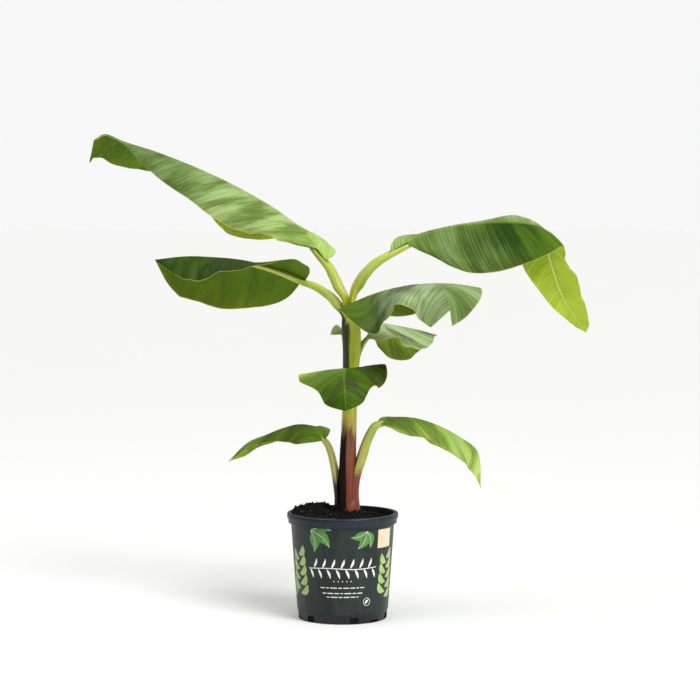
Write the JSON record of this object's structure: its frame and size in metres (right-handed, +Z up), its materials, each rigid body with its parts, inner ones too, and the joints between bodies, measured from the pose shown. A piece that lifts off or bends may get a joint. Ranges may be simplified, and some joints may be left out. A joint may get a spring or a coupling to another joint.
{
  "type": "potted banana plant",
  "caption": "Young banana plant with a stout reddish-green stem and wide arching leaves, in a round tapered nursery pot filled with dark potting mix.",
  "frame": {"origin": "centre of the pot's flat underside", "axes": "+Z up along the pot's axis, -Y to the front, +X to the right as seen from the front"},
  "size_m": [0.971, 0.5098, 0.8997],
  "materials": {
    "pot": "satin charcoal plastic with a printed wrap",
    "potting_mix": "dark bark and peat crumbs",
    "stem": "smooth sheaths, maroon low down and yellow-green above",
    "stalk": "smooth pale green",
    "blade": "semi-gloss green leaf"
  },
  "bodies": {
    "root": {"pot": "pot", "potting_mix": "potting_mix", "stem": "stem", "stalk_upper_left": "stalk", "blade_upper_left": "blade", "stalk_middle_left": "stalk", "blade_middle_left": "blade", "stalk_upper_right": "stalk", "blade_upper_right": "blade", "stalk_front_arching": "stalk", "blade_front_arching": "blade", "stalk_back_right": "stalk", "blade_back_right": "blade", "stalk_front_drooping": "stalk", "blade_front_drooping": "blade", "stalk_lower_left": "stalk", "blade_lower_left": "blade", "stalk_lower_right": "stalk", "blade_lower_right": "blade", "stalk_small_back": "stalk", "blade_small_back": "blade", "blade_upper_right_tip": "blade"}
  },
  "joints": []
}
